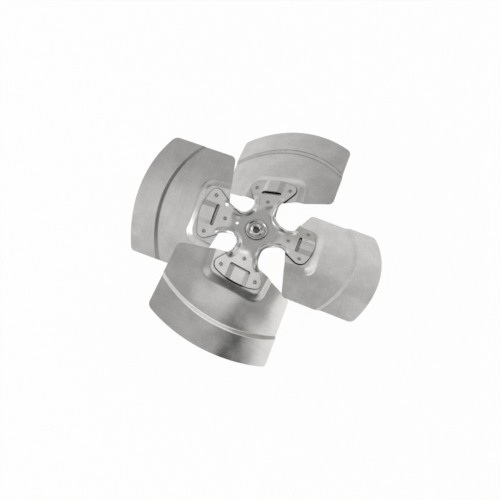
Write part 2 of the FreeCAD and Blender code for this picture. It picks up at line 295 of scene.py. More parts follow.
def plan_triangles(loops: Loops, spacing: float) -> tuple[Array, Array]:
    """Divides a sheet's plan into small even triangles.

    Args:
        loops: The sheet's loops.
        spacing: Distance between neighbouring points.

    Returns:
        The plan's points, and the corners of its triangles, which all turn the same way.
    """
    plan: Loop = []
    rims: list[tuple[int, int]] = []
    for loop in loops:
        first = len(plan)
        rims += [(first + i, first + (i + 1) % len(loop)) for i in range(len(loop))]
        plan += loop
    plan += [tuple(point) for point in even_grid(loops, spacing)]
    vectors = [Vector(point) for point in plan]
    merged, _, triangles, *_ = delaunay_2d_cdt(vectors, rims, [], 0, MERGE_DISTANCE)
    flat = np.array([tuple(point) for point in merged])
    corners = np.array([tuple(triangle) for triangle in triangles])
    corners = corners[in_sheet(flat[corners].mean(axis=1), loops)]
    used = np.unique(corners)
    number = np.full(len(flat), -1)
    number[used] = np.arange(len(used))
    flat = flat[used]
    corners = number[corners]
    a, b, c = (flat[corners[:, i]] for i in range(3))
    area = (b[:, 0] - a[:, 0]) * (c[:, 1] - a[:, 1]) - (b[:, 1] - a[:, 1]) * (c[:, 0] - a[:, 0])
    corners[area < 0] = corners[area < 0][:, ::-1]
    return flat, corners


def skin_normals(front: Skin, plan: Array) -> Array:
    """Unit normals of a pressed skin, from small steps over its plan.

    Args:
        front: Gives the skin's points for an array of plan points.
        plan: The plan points.

    Returns:
        One normal for each plan point.
    """
    across = front(plan + (NORMAL_STEP, 0.0)) - front(plan - (NORMAL_STEP, 0.0))
    ahead = front(plan + (0.0, NORMAL_STEP)) - front(plan - (0.0, NORMAL_STEP))
    normals = np.cross(across, ahead)
    return normals / np.linalg.norm(normals, axis=1, keepdims=True)


def sheet_mesh(name: str, loops: Loops, spacing: float, front: Skin,
               push: Sequence[float]) -> Mesh:
    """Thick pressed sheet over a plan, with the normals of its true curves.

    Args:
        name: Name of the mesh.
        loops: The sheet's loops.
        spacing: Distance between neighbouring points.
        front: Gives the front skin's points for an array of plan points.
        push: Vector from the front skin to the back skin.

    Returns:
        The mesh, in metres.
    """
    flat, corners = plan_triangles(loops, spacing)
    skin = front(flat)
    count = len(skin)
    sides = np.vstack([corners[:, [0, 1]], corners[:, [1, 2]], corners[:, [2, 0]]])
    seen = {tuple(side) for side in sides.tolist()}
    walls = [(i, j) for i, j in seen if (j, i) not in seen]
    faces = corners.tolist()
    faces += (corners[:, ::-1] + count).tolist()
    faces += [(i + count, j + count, j, i) for i, j in walls]
    points = np.vstack([skin, skin + np.array(push)]) * MM
    mesh = bpy.data.meshes.new(name)
    mesh.from_pydata(points.tolist(), [], faces)
    mesh.shade_smooth()
    mesh.set_sharp_from_angle(angle=SHARP_ANGLE)
    # A zero normal leaves the walls with their own.
    normals = skin_normals(front, flat)
    facing = np.zeros((len(mesh.loops), 3))
    facing[:corners.size] = normals[corners.ravel()]
    facing[corners.size:2 * corners.size] = -normals[corners[:, ::-1].ravel()]
    mesh.normals_split_custom_set(facing.tolist())
    return mesh


def lathe_mesh(name: str, profile: Sequence[Point], segments: int) -> Mesh:
    """Turned piece about the z axis.

    Args:
        name: Name of the mesh.
        profile: Its r, z points from the axis or the bore round to the start.
        segments: Number of divisions of the circle.

    Returns:
        The mesh, in metres.
    """
    points: list[tuple[float, float, float]] = []
    rings: list[list[int]] = []
    for r, z in profile:
        if r == 0:
            rings.append([len(points)] * segments)
            points.append((0.0, 0.0, z * MM))
            continue
        first = len(points)
        rings.append(list(range(first, first + segments)))
        for i in range(segments):
            turn = math.tau * i / segments
            points.append((r * math.cos(turn) * MM, r * math.sin(turn) * MM, z * MM))
    faces = []
    closed = profile[0][0] != 0
    pairs = list(zip(rings, rings[1:])) + ([(rings[-1], rings[0])] if closed else [])
    for low, high in pairs:
        for i in range(segments):
            j = (i + 1) % segments
            corners = list(dict.fromkeys([low[i], low[j], high[j], high[i]]))
            if len(corners) > 2:
                faces.append(corners)
    mesh = bpy.data.meshes.new(name)
    mesh.from_pydata(points, [], faces)
    mesh.validate()
    mesh.shade_smooth()
    mesh.set_sharp_from_angle(angle=SHARP_ANGLE)
    return mesh


def put(name: str, data: bpy.types.ID) -> bpy.types.Object:
    """Makes an object of some data and links it to the scene."""
    made = bpy.data.objects.new(name, data)
    bpy.context.scene.collection.objects.link(made)
    return made


def place(name: str, mesh: Mesh, material: Material, slot: Slot,
          node: str, turn: Matrix = Matrix.Identity(4)) -> bpy.types.Object:
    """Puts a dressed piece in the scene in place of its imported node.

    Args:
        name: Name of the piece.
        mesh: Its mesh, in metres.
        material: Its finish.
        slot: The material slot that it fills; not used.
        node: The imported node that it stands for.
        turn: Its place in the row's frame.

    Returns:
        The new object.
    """
    piece = put(name, mesh)
    piece.data.materials.append(material)
    piece.matrix_world = turn
    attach(piece, "root")
    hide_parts(node)
    log.info("%s stands for %s: %d faces", name, node, len(mesh.polygons))
    return piece


# Finishes

def linear(code: str) -> tuple[float, float, float, float]:
    """Linear colour of an sRGB hex code.

    Args:
        code: The code, with its leading #.

    Returns:
        Red, green, blue and an alpha of 1.
    """
    parts = [int(code[i:i + 2], 16) / 255 for i in (1, 3, 5)]
    light = [c / 12.92 if c <= 0.04045 else ((c + 0.055) / 1.055) ** 2.4 for c in parts]
    return light[0], light[1], light[2], 1.0


def add(tree: Tree, kind: str, settings: Mapping[str, object] | None = None,
        links: Mapping[str, Socket] | None = None) -> bpy.types.Node:
    """Adds a shader node with its settings and links.

    Args:
        tree: The node tree.
        kind: Blender's name for the node, without its leading ShaderNode.
        settings: Values by the name of an input, its number in text, or a property.
        links: Outputs to link, by the name of an input or its number in text.

    Returns:
        The new node.
    """
    made = tree.nodes.new("ShaderNode" + kind)
    for name, value in (settings or {}).items():
        if name.isdigit():
            made.inputs[int(name)].default_value = value
        elif name in made.inputs:
            made.inputs[name].default_value = value
        else:
            setattr(made, name, value)
    for name, output in (links or {}).items():
        tree.links.new(output, made.inputs[int(name) if name.isdigit() else name])
    return made


def new_material(name: str) -> tuple[Material, Tree]:
    """An empty node material and its tree."""
    material = bpy.data.materials.new(name)
    material.use_nodes = True
    material.node_tree.nodes.clear()
    return material, material.node_tree


def noise(tree: Tree, where: Socket, size: float, detail: float = 2.0,
          roughness: float = 0.5) -> Socket:
    """Noise whose patches have a real size.

    Args:
        tree: The node tree.
        where: Place on the piece, in metres.
        size: Size of a patch, in millimetres.
        detail: Number of finer layers.
        roughness: Strength of the finer layers.

    Returns:
        The output, about 0.5 with a spread of 0.2.
    """
    return add(tree, "TexNoise",
               {"Scale": 1 / (size * MM), "Detail": detail, "Roughness": roughness},
               {"Vector": where}).outputs["Fac"]


def ramp(tree: Tree, value: Socket, low: float, high: float, start: float = 0.0,
         end: float = 1.0, kind: str = "LINEAR") -> Socket:
    """Ramp over a range of a value, level beyond its ends.

    Args:
        tree: The node tree.
        value: The value.
        low: Value at which the ramp starts.
        high: Value at which it ends.
        start: Result at its start.
        end: Result at its end.
        kind: Blender's name for the ramp's form.

    Returns:
        The output.
    """
    return add(tree, "MapRange",
               {"interpolation_type": kind, "From Min": low, "From Max": high, "To Min": start,
                "To Max": end}, {"Value": value}).outputs[0]


def combined(tree: Tree, operation: str, first: Socket, second: Socket | float) -> Socket:
    """Result of some arithmetic.

    Args:
        tree: The node tree.
        operation: Blender's name for the operation.
        first: Its first value.
        second: Its second value, an output or a number.

    Returns:
        The output.
    """
    if isinstance(second, float):
        return add(tree, "Math", {"operation": operation, "1": second}, {"0": first}).outputs[0]
    return add(tree, "Math", {"operation": operation}, {"0": first, "1": second}).outputs[0]


def bump(tree: Tree, height: Socket, strength: float, distance: float,
         under: Socket | None = None) -> Socket:
    """Fine relief in a finish.

    Args:
        tree: The node tree.
        height: Height of the relief, from 0 to 1.
        strength: Share of the relief that shows.
        distance: Its full height, in millimetres.
        under: Normal of another relief below it.

    Returns:
        The new normal's output.
    """
    links = {"Height": height} if under is None else {"Height": height, "Normal": under}
    return add(tree, "Bump", {"Strength": strength, "Distance": distance * MM},
               links).outputs[0]


def toned(tree: Tree, level: Socket, deep: str, pale: str) -> Socket:
    """Colour between a deep and a pale tone.

    Args:
        tree: The node tree.
        level: 0 for the deep tone to 1 for the pale one.
        deep: The deep tone.
        pale: The pale tone.

    Returns:
        The colour's output.
    """
    return add(tree, "Mix", {"data_type": "RGBA", "6": linear(deep), "7": linear(pale)},
               {"0": level}).outputs[2]


@dataclass(frozen=True)
class PaintedShade:
    """Painted shade: a dark colour laid deep in slots and seams, where little of the sky is open.

    A surface takes the full painted shade where the open share of the sky, counted as far as the
    reach, is down to the shut share, and none from the clear share on.
    """

    colour: str
    reach: float
    shut: float
    clear: float
    samples: int = 8

    def over(self, tree: Tree, colour: Socket) -> Socket:
        """Lays the painted shade over the unshaded colour.

        Args:
            tree: The node tree.
            colour: Colour of the surface without painted shade.

        Returns:
            The mixed colour's output.
        """
        # ambient occlusion sets where the painted shade darkens the colour
        open_share = add(tree, "AmbientOcclusion",
                         {"Distance": self.reach * MM, "samples": self.samples}).outputs["AO"]
        unshaded = ramp(tree, open_share, self.shut, self.clear)
        return add(tree, "Mix", {"data_type": "RGBA", "6": linear(self.colour)},
                   {"0": unshaded, "7": colour}).outputs[2]


def bright_metal(tree: Tree, colour: Socket, roughness: Socket, normal: Socket) -> None:
    """Ends a material as bare or plated metal.

    Args:
        tree: The node tree.
        colour: The metal's colour.
        roughness: Its roughness.
        normal: Its relief.
    """
    shader = add(tree, "BsdfPrincipled", {"Metallic": 1.0},
                 {"Base Color": colour, "Roughness": roughness, "Normal": normal})
    add(tree, "OutputMaterial", links={"Surface": shader.outputs[0]})


@dataclass(frozen=True)
class RolledAluminium:
    """Mill-finish aluminium sheet, cold rolled.

    The rolls leave fine lines one way and a soft gloss, handling leaves cloudy patches, and thin
    sheet is never quite flat, so its reflections waver.
    """

    name: str = "rolled_aluminium_sheet"
    pale: str = "#CFCECC"
    deep: str = "#BDBCBA"
    deep_below: float = 0.38
    pale_above: float = 0.62
    # painted shade: darkens the sheet where the spider's slots and seams hide the sky
    painted_shade: PaintedShade = PaintedShade("#1E1D1C", reach=9.0, shut=0.62, clear=0.93)
    roughness_low: float = 0.20
    roughness_high: float = 0.27
    cloud_size: float = 42.0
    grain_size: float = 3.0
    grain_share: float = 0.4
    line_width: float = 1.6
    line_length: float = 60.0
    line_share: float = 0.22
    line_depth: float = 0.06
    line_strength: float = 0.12
    waver_size: float = 95.0
    waver_depth: float = 3.0
    cut_spread: tuple[float, float, float] = (1.0, 0.7, 0.4)

    def build(self) -> Material:
        """Makes the material."""
        material, tree = new_material(self.name)
        # Each blade is cut from another place of the roll, up to cut_spread metres away.
        where = add(tree, "TexCoord").outputs["Object"]
        chance = add(tree, "ObjectInfo").outputs["Random"]
        shift = add(tree, "VectorMath", {"operation": "SCALE", "0": self.cut_spread},
                    {"Scale": chance}).outputs[0]
        where = add(tree, "VectorMath", {"operation": "ADD"}, {"0": where, "1": shift}).outputs[0]
        width = 1 / (self.line_width * MM)
        length = 1 / (self.line_length * MM)
        along = add(tree, "Mapping", {"Scale": (width, length, length)},
                    {"Vector": where}).outputs[0]
        lines = add(tree, "TexNoise", {"Scale": 1.0, "Detail": 3.0},
                    {"Vector": along}).outputs["Fac"]
        clouds = noise(tree, where, self.cloud_size, detail=4.0, roughness=0.6)
        grain = noise(tree, where, self.grain_size, roughness=0.7)
        speckled = add(tree, "Mix", {"data_type": "FLOAT", "0": self.grain_share},
                       {"2": clouds, "3": grain}).outputs[0]
        lined = add(tree, "Mix", {"data_type": "FLOAT", "0": self.line_share},
                    {"2": speckled, "3": lines}).outputs[0]
        level = ramp(tree, lined, self.deep_below, self.pale_above)
        colour = toned(tree, level, self.deep, self.pale)
        rough = ramp(tree, clouds, NOISE_LOW, NOISE_HIGH, self.roughness_low,
                     self.roughness_high)
        fine = bump(tree, lines, self.line_strength, self.line_depth)
        waver = noise(tree, where, self.waver_size, detail=1.0)
        wave = bump(tree, waver, strength=1.0, distance=self.waver_depth, under=fine)
        # the metal's colour carries painted shade in slots and seams
        bright_metal(tree, self.painted_shade.over(tree, colour), rough, wave)
        return material


@dataclass(frozen=True)
class ZincPlate:
    """Bright zinc plate on a steel pressing or a turned part.

    The bath leaves a pale, nearly neutral skin that is smoother than bare sheet, with small dull
    blotches where the pieces hung together.
    """

    name: str
    pale: str = "#CBCAC8"
    deep: str = "#C4C3C1"
    # painted shade in the hollows of the plated part
    painted_shade: PaintedShade = PaintedShade(ZINC_PAINTED_SHADE, reach=6.0, shut=0.50, clear=0.96)
    roughness_low: float = 0.23
    roughness_high: float = 0.28
    dull_below: float = 0.8
    bright_above: float = 1.2
    blotch_size: float = 30.0
    grain_size: float = 1.6
    grain_depth: float = 0.02
    grain_strength: float = 0.3

    def build(self) -> Material:
        """Makes the material."""
        material, tree = new_material(self.name)
        where = add(tree, "TexCoord").outputs["Object"]
        blotch = noise(tree, where, self.blotch_size, detail=3.0, roughness=0.55)
        grain = noise(tree, where, self.grain_size)
        colour = toned(tree, ramp(tree, blotch, NOISE_LOW, NOISE_HIGH), self.deep, self.pale)
        both = combined(tree, "ADD", blotch, grain)
        rough = ramp(tree, both, self.dull_below, self.bright_above, self.roughness_high,
                     self.roughness_low)
        relief = bump(tree, grain, self.grain_strength, self.grain_depth)
        # painted shade darkens the colour in the hollows
        bright_metal(tree, self.painted_shade.over(tree, colour), rough, relief)
        return material


@dataclass(frozen=True)
class BlackOxide:
    """Black oxide on an alloy steel screw, oiled: nearly black, with a dull sheen."""

    name: str = "black_oxide_screw"
    colour: str = "#2B2B2C"
    roughness: float = 0.42
    grain_size: float = 0.8
    grain_depth: float = 0.05
    grain_strength: float = 0.3

    def build(self) -> Material:
        """Makes the material."""
        material, tree = new_material(self.name)
        where = add(tree, "TexCoord").outputs["Object"]
        grain = noise(tree, where, self.grain_size)
        relief = bump(tree, grain, self.grain_strength, self.grain_depth)
        shader = add(tree, "BsdfPrincipled",
                     {"Metallic": 1.0, "Base Color": linear(self.colour),
                      "Roughness": self.roughness}, {"Normal": relief})
        add(tree, "OutputMaterial", links={"Surface": shader.outputs[0]})
        return material


# The impeller

@dataclass(frozen=True)
class ArmFrame:
    """The pitched frame that each arm, its blade and its rivets share."""

    pitch: float = 23.1
    rise: float = 1.5
    count: int = 4

    @property
    def sin(self) -> float:
        """Sine of the pitch."""
        return math.sin(math.radians(self.pitch))

    @property
    def cos(self) -> float:
        """Cosine of the pitch."""
        return math.cos(math.radians(self.pitch))

    @property
    def arm_angle(self) -> float:
        """Angle from one arm to the next, in degrees."""
        return 360.0 / self.count

    def point(self, x: Array, s: Array, w: Array) -> Array:
        """Points of arm 0's own frame, in the impeller's frame."""
        return np.column_stack([x, s * self.cos + w * self.sin,
                                self.rise - s * self.sin + w * self.cos])

    def turn(self, arm: int) -> Matrix:
        """Turn that takes arm 0 to another arm."""
        return Matrix.Rotation(math.radians(self.arm_angle * arm), 4, "Z")

    def seat(self, arm: int, x: float, s: float) -> Matrix:
        """Place of a piece that stands on an arm's face at x, s, with its z along w."""
        spot = Vector((x, s * self.cos, self.rise - s * self.sin)) * MM
        lean = Matrix.Rotation(math.radians(-self.pitch), 4, "X")
        return self.turn(arm) @ Matrix.Translation(spot) @ lean


@dataclass
class Blades:
    """Four blades of cambered aluminium sheet, each with a raised pad and a joggle."""

    arms: ArmFrame
    swept_radius: float = 304.78  # 0.02 under the solids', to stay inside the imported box
    sheet: float = 1.6
    width: float = 298.0
    camber_radius: float = 600.0
    camber_depth: float = 6.3
    camber_depth_at: float = 141.0
    droop: float = 1.7
    root_centre: float = 73.0
    root_edge_angle: float = 14.0
    root_centre_radius: float = 60.0
    joggle_radius: float = 237.0
    joggle_width: float = 9.0
    joggle_height: float = 4.7
    leading_root_radius: float = 14.0
    trailing_root_radius: float = 11.0
    leading_tip_radius: float = 17.0
    trailing_tip_radius: float = 11.0
    tip_corner_length: float = 16.0
    tip_runs: int = 60
    pad_face: float = -2.38
    pad_foot_end: float = 160.0
    pad_foot_width: float = 176.0
    pad_width_at: float = 73.0
    pad_taper: float = 6.0
    pad_foot_radius: float = 30.0
    pad_rim: float = 16.0
    bend_rounding: float = 0.17
    spacing: float = 2.4

    def camber(self, x: Array, s: Array) -> Array:
        """Height w of the cambered skin, before the joggle and the pad."""
        sag = self.camber_radius - np.sqrt(self.camber_radius ** 2 - s ** 2)
        slope = math.tan(math.radians(self.droop))
        return -self.camber_depth - (x - self.camber_depth_at) * slope - sag

    def skin(self, plan: Array) -> Array:
        """Front skin over plan points x, s, in the impeller's frame."""
        x = plan[:, 0]
        s = plan[:, 1]
        w = self.camber(x, s)
        run = np.hypot(x, s * self.arms.cos + w * self.arms.sin)
        share = (run - self.joggle_radius) / self.joggle_width
        lifted = w + self.joggle_height * bent_ramp(share, self.bend_rounding)
        onto_pad = bent_ramp(self.into_pad(x, s) / self.pad_rim, self.bend_rounding)
        return self.arms.point(x, s, lifted + (self.pad_face - lifted) * onto_pad)

    def into_pad(self, x: Array, s: Array) -> Array:
        """Distance in from the foot of the pad's rim, below zero outside it."""
        taper = math.radians(self.pad_taper)
        end = self.pad_foot_end - x
        half = self.pad_foot_width / 2 - (x - self.pad_width_at) * math.tan(taper)
        side = (half - np.abs(s)) * math.cos(taper)
        radius = self.pad_foot_radius
        corner = radius - np.hypot(radius - end, radius - side)
        in_corner = (end < radius) & (side < radius)
        return np.where(in_corner, corner, np.minimum(end, side))

    def tip_at(self, s: float) -> float:
        """Reach x of the outer edge at s, where the blade's corner meets the swept radius."""
        x = self.swept_radius
        for _ in range(SETTLING_ROUNDS):
            w = float(self.camber(np.array(x), np.array(s))) + self.joggle_height
            x = math.sqrt(self.swept_radius ** 2 - (s * self.arms.cos + w * self.arms.sin) ** 2)
        return x

    def outline(self) -> Loop:
        """Plan of the blade: V-shaped root, straight sides, round outer edge, rounded corners."""
        half = self.width / 2
        corner_x = self.root_centre + half * math.tan(math.radians(self.root_edge_angle))
        corners = [(self.root_centre, 0.0, self.root_centre_radius),
                   (corner_x, half, self.trailing_root_radius)]
        corners.append((self.tip_at(half), half, self.trailing_tip_radius))
        inner_half = half - self.tip_corner_length
        for i in range(self.tip_runs + 1):
            s = inner_half - 2 * inner_half * i / self.tip_runs
            corners.append((self.tip_at(s), s, 0.0))
        corners.append((self.tip_at(-half), -half, self.leading_tip_radius))
        corners.append((corner_x, -half, self.leading_root_radius))
        return rounded(corners, self.spacing)

    def build(self, finish: RolledAluminium) -> None:
        """Builds and dresses the four blades.

        Args:
            finish: Finish of the sheet.
        """
        material = finish.build()
        push = (0.0, -self.sheet * self.arms.sin, -self.sheet * self.arms.cos)
        mesh = sheet_mesh("blade", [self.outline()], self.spacing, self.skin, push)
        for arm in range(self.arms.count):
            place(f"pressed_blade_{arm + 1}", mesh.copy(), material, Slot.BLADE,
                  f"blade_{arm + 1}", self.arms.turn(arm))


@dataclass
class Spider:
    """Steel spider: flat centre, four twisted arms, rolled lips, slots and lanced bridges."""

    arms: ArmFrame
    sheet: float = 2.5
    waist_width: float = 60.0
    window_radius: float = 25.0
    window_turn: float = 30.0
    flare_radius: float = 30.0
    flare_angle: float = 34.6
    twist_end: float = 71.0
    lobe_radius: float = 15.5
    lobe_x: float = 117.7
    lobe_s: float = 45.0
    lip_width: float = 14.0
    lip_height: float = 4.8
    lip_crest_share: float = 0.3
    lip_edge_wave: float = -0.43
    lip_full_to: float = 77.0
    lip_ends_at: float = 92.0
    slot_centre: float = 105.0
    slot_spacing: float = 45.0
    slot_width: float = 7.5
    slot_end_share: float = 0.49
    bridge_height: float = 4.6
    bridge_top_width: float = 30.0
    bridge_rounding: float = 0.16
    index_hole_radius: float = 4.0
    index_hole_centre: float = -48.5
    index_hole_spacing: float = 0.9
    centre_hole_radius: float = 17.08
    shortest_edge: float = 0.05
    spacing: float = 1.1

    @property
    def half_waist(self) -> float:
        """Half the width of an arm's waist."""
        return self.waist_width / 2

    @property
    def window_centre(self) -> float:
        """Distance along and across the arm of the centre of a window's corner arc."""
        return self.half_waist + self.window_radius

    @property
    def plan_flare(self) -> float:
        """Angle of the flare in plan, in radians."""
        return math.atan(math.tan(math.radians(self.flare_angle)) * self.arms.cos)

    @property
    def flare_start(self) -> float:
        """Plan x where the waist gives way to the flare's arc."""
        angle = math.radians(self.flare_angle)
        tangent_x = self.lobe_x - self.lobe_radius * math.sin(angle)
        tangent_s = self.lobe_s + self.lobe_radius * math.cos(angle)
        corner = tangent_x - (tangent_s - self.half_waist / self.arms.cos) / math.tan(angle)
        return corner - self.flare_radius * math.tan(self.plan_flare / 2)

    @property
    def tip_radius(self) -> float:
        """Radius of the arm's outer edge in its pitched plane."""
        return math.hypot(self.lobe_x, self.lobe_s) + self.lobe_radius

    def edge_place(self, x: Array, y: Array) -> tuple[Array, Array]:
        """Distance in from the window's edge and run along it, for points of arm 0's plan.

        Args:
            x: Places along the arm.
            y: Places across it, all taken as above zero.

        Returns:
            The distance in, and the run, which is below zero round the window's corner.
        """
        centre = self.window_centre
        start = self.flare_start
        flare = self.plan_flare
        straight = start - centre
        radius = self.flare_radius
        pivot = self.half_waist + radius
        turn = np.arctan2(x - start, pivot - y)
        out = (math.cos(flare), math.sin(flare))
        first = (start + radius * math.sin(flare), pivot - radius * math.cos(flare))
        ahead = (x - first[0]) * out[0] + (y - first[1]) * out[1]
        inward = (x - first[0]) * out[1] - (y - first[1]) * out[0]
        corner = np.hypot(x - centre, y - centre) - self.window_radius
        bend = np.hypot(x - start, y - pivot) - radius
        places = [x < centre, x < start, turn < flare]
        depth = np.select(places, [corner, self.half_waist - y, bend], inward)
        run = np.select(places, [x - centre, x - centre, straight + turn * radius],
                        straight + flare * radius + ahead)
        return depth, run

    def run_to(self, x: float) -> float:
        """Run along the flare's straight at which the window's edge reaches plan x."""
        bend_end = self.flare_start + self.flare_radius * math.sin(self.plan_flare)
        before = self.flare_start - self.window_centre + self.flare_radius * self.plan_flare
        return before + (x - bend_end) / math.cos(self.plan_flare)

    def skin(self, plan: Array) -> Array:
        """Front skin over plan points, in the impeller's frame."""
        step = self.arms.arm_angle
        turn = np.radians(step * np.round(np.degrees(np.arctan2(plan[:, 1], plan[:, 0])) / step))
        x = plan[:, 0] * np.cos(turn) + plan[:, 1] * np.sin(turn)
        y = plan[:, 1] * np.cos(turn) - plan[:, 0] * np.sin(turn)
        pitch = math.tan(math.radians(self.arms.pitch))
        start = self.window_centre - self.window_radius * math.sin(math.radians(self.window_turn))
        share = smooth_step((x - start) / (self.twist_end - start))
        z = share * (self.arms.rise - y * pitch)
        depth, run = self.edge_place(x, np.abs(y))
        # The lip is a cosine wave: its crest lies a little in from the edge, which cuts it off.
        wave = (depth / self.lip_width - self.lip_crest_share) / (1.0 - self.lip_crest_share)
        wave = np.clip(wave, self.lip_edge_wave, 1.0)
        profile = self.lip_height * 0.5 * (1.0 + np.cos(math.pi * wave))
        full = self.run_to(self.lip_full_to)
        end = self.run_to(self.lip_ends_at)
        z = z + profile * (1.0 - smooth_step((run - full) / (end - full)))
        slot_half = (self.slot_spacing + self.slot_width) / 2
        climb = slot_half - self.bridge_top_width / 2
        raised = bent_ramp((slot_half - np.abs(y) / self.arms.cos) / climb, self.bridge_rounding)
        w = np.where(x > self.slot_centre, self.bridge_height * raised, 0.0)
        y = y + w * self.arms.sin
        z = z + w * self.arms.cos
        return np.column_stack([x * np.cos(turn) - y * np.sin(turn),
                                x * np.sin(turn) + y * np.cos(turn), z])

    def half_edge(self) -> Loop:
        """Plan of the edge from a window's diagonal out to the middle of an arm's end."""
        centre = self.window_centre
        corner = arc((centre, centre), self.window_radius, 225.0, 270.0, self.spacing)
        pivot = (self.flare_start, self.half_waist + self.flare_radius)
        turn = math.degrees(self.plan_flare)
        flare = arc(pivot, self.flare_radius, -90.0, turn - 90.0, self.spacing)
        spoke = math.degrees(math.atan2(self.lobe_s, self.lobe_x))
        lobe = arc((self.lobe_x, self.lobe_s), self.lobe_radius, 90.0 + self.flare_angle, spoke,
                   self.spacing)
        end = arc((0.0, 0.0), self.tip_radius, spoke, 0.0, self.spacing)
        return corner + flare + [(x, s * self.arms.cos) for x, s in lobe + end]

    def outline(self) -> Loop:
        """Plan of the whole spider's edge."""
        high = self.half_edge()
        arm = [(x, -y) for x, y in high] + high[::-1]
        loop: Loop = []
        for number in range(self.arms.count):
            loop += turned(arm, self.arms.arm_angle * number)
        kept = [here for here, last in zip(loop, loop[-1:] + loop)
                if math.dist(here, last) > self.shortest_edge]
        return filled(kept, self.spacing)

    def holes(self) -> list[Loop]:
        """Edges of the centre hole, the index hole and the four slots."""
        half = (self.slot_spacing + self.slot_width) / 2
        near = self.slot_centre - self.slot_width / 2
        far = self.slot_centre + self.slot_width / 2
        end = self.slot_width * self.slot_end_share
        slot = rounded([(near, -half, end), (far, -half, end), (far, half, end), (near, half, end)],
                       self.spacing)
        plan = [(x, s * self.arms.cos) for x, s in slot]
        centre = arc((0.0, 0.0), self.centre_hole_radius, 0.0, 360.0, self.spacing)[:-1]
        index = arc((self.index_hole_centre, 0.0), self.index_hole_radius, 0.0, 360.0,
                    self.index_hole_spacing)[:-1]
        slots = [turned(plan, self.arms.arm_angle * number) for number in range(self.arms.count)]
        return [centre, index, *slots]

    def build(self, finish: ZincPlate) -> None:
        """Builds and dresses the spider.

        Args:
            finish: Finish of the pressing.
        """
        mesh = sheet_mesh("spider", [self.outline(), *self.holes()], self.spacing, self.skin,
                          (0.0, 0.0, -self.sheet))
        place("pressed_spider", mesh, finish.build(), Slot.SPIDER, "spider")


@dataclass
class Hub:
    """Turned hub: barrel behind, neck through the spider, swaged and dished flange in front."""

    bore_radius: float = 7.95
    bore_chamfer: float = 1.2
    barrel_radius: float = 19.05
    barrel_chamfer: float = 1.0
    neck_radius: float = 17.0
    rear: float = -40.58
    shoulder: float = -2.58
    seat_gap: float = 0.08
    flange_radius: float = 25.5
    flange_height: float = 3.2
    groove_height: float = 0.3
    boss_height: float = 3.0
    segments: int = 128

    def profile(self) -> list[Point]:
        """The turned profile, from the bore's rear edge round to its front edge."""
        bore = self.bore_radius
        flange = self.flange_radius
        top = self.flange_height
        floor = self.groove_height
        barrel = [(bore, self.rear + self.bore_chamfer), (bore + self.bore_chamfer, self.rear),
                  (self.barrel_radius - self.barrel_chamfer, self.rear),
                  (self.barrel_radius, self.rear + self.barrel_chamfer),
                  (self.barrel_radius, self.shoulder)]
        neck = [(self.neck_radius, self.shoulder), (self.neck_radius, self.seat_gap)]
        rim = [(flange - 0.3, self.seat_gap), (flange, 0.5), (flange, top - 1.2),
               (flange - 0.3, top - 0.45), (flange - 0.9, top), (flange - 1.8, top),
               (flange - 2.5, top - 0.4)]
        groove = [(flange - 4.2, 0.9), (flange - 4.9, 0.45), (flange - 6.0, floor), (17.4, floor),
                  (16.6, 0.5)]
        boss = [(16.0, 1.0), (14.7, 2.7), (14.2, self.boss_height), (13.4, self.boss_height),
                (12.9, 2.8)]
        cone = [(bore + 2.6, 1.6), (bore + 1.4, 1.2), (bore, -0.2)]
        return barrel + neck + rim + groove + boss + cone

    def build(self, finish: ZincPlate) -> None:
        """Builds and dresses the hub.

        Args:
            finish: Finish of the turned part.
        """
        mesh = lathe_mesh("hub", self.profile(), self.segments)
        place("turned_hub", mesh, finish.build(), Slot.HUB, "hub")


@dataclass
class Rivets:
    """Tubular rivets: a low head behind the blade and a rolled clinch on the spider's front."""

    arms: ArmFrame
    places: Mapping[str, Point] = field(default_factory=lambda: {
        "inner": (79.4, 0.0), "leading": (117.7, -45.0), "trailing": (117.7, 45.0)})
    back: float = -4.06
    head_radius: float = 4.6
    head_height: float = 1.5
    shank_radius: float = 2.4
    seat_gap: float = 0.05
    clinch_radius: float = 4.2
    clinch_height: float = 1.3
    dimple_depth: float = 0.5
    segments: int = 40

    def profile(self) -> list[Point]:
        """The rivet's profile, from the head's middle round to the clinch's dimple."""
        head = self.head_radius
        low = self.back - self.head_height
        ring = self.clinch_radius
        top = self.clinch_height
        below = [(0.0, low), (head * 0.55, low), (head * 0.85, low + 0.25), (head, low + 0.8),
                 (head, self.back)]
        shank = [(self.shank_radius, self.back), (self.shank_radius, self.seat_gap)]
        clinch = [(ring - 0.3, self.seat_gap), (ring, 0.4), (ring - 0.25, 0.95),
                  (ring - 0.9, top), (ring - 1.5, top - 0.1), (ring - 1.9, top - 0.5)]
        dimple = [(ring - 2.2, -0.2), (ring - 2.8, -self.dimple_depth),
                  (0.6, -self.dimple_depth), (0.0, -0.45)]
        return below + shank + clinch + dimple

    def build(self, finish: ZincPlate) -> None:
        """Builds and dresses the twelve rivets.

        Args:
            finish: Finish of the rivets.
        """
        material = finish.build()
        mesh = lathe_mesh("rivet", self.profile(), self.segments)
        for arm in range(self.arms.count):
            for name, (x, s) in self.places.items():
                place(f"clinched_rivet_{arm + 1}_{name}", mesh.copy(), material, Slot.RIVET,
                      f"rivet_{arm + 1}_{name}", self.arms.seat(arm, x, s))


@dataclass
class SetScrews:
    """The two socket set screws, kept as packed."""

    nodes: tuple[str, ...] = ("set_screw_1", "set_screw_2")

    def build(self, finish: BlackOxide) -> None:
        """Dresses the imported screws.

        Args:
            finish: Finish of the screws.
        """
        material = finish.build()
        for name in self.nodes:
            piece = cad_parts[name]
            piece.data.materials.clear()
            piece.data.materials.append(material)
            log.info("%s keeps its packed shape", name)


# The studio

def aimed(azimuth: float, elevation: float) -> Vector:
    """Unit vector towards an azimuth, from +X towards +Y, and an elevation, in degrees."""
    turn = math.radians(azimuth)
    rise = math.radians(elevation)
    level = math.cos(rise)
    return Vector((level * math.cos(turn), level * math.sin(turn), math.sin(rise)))


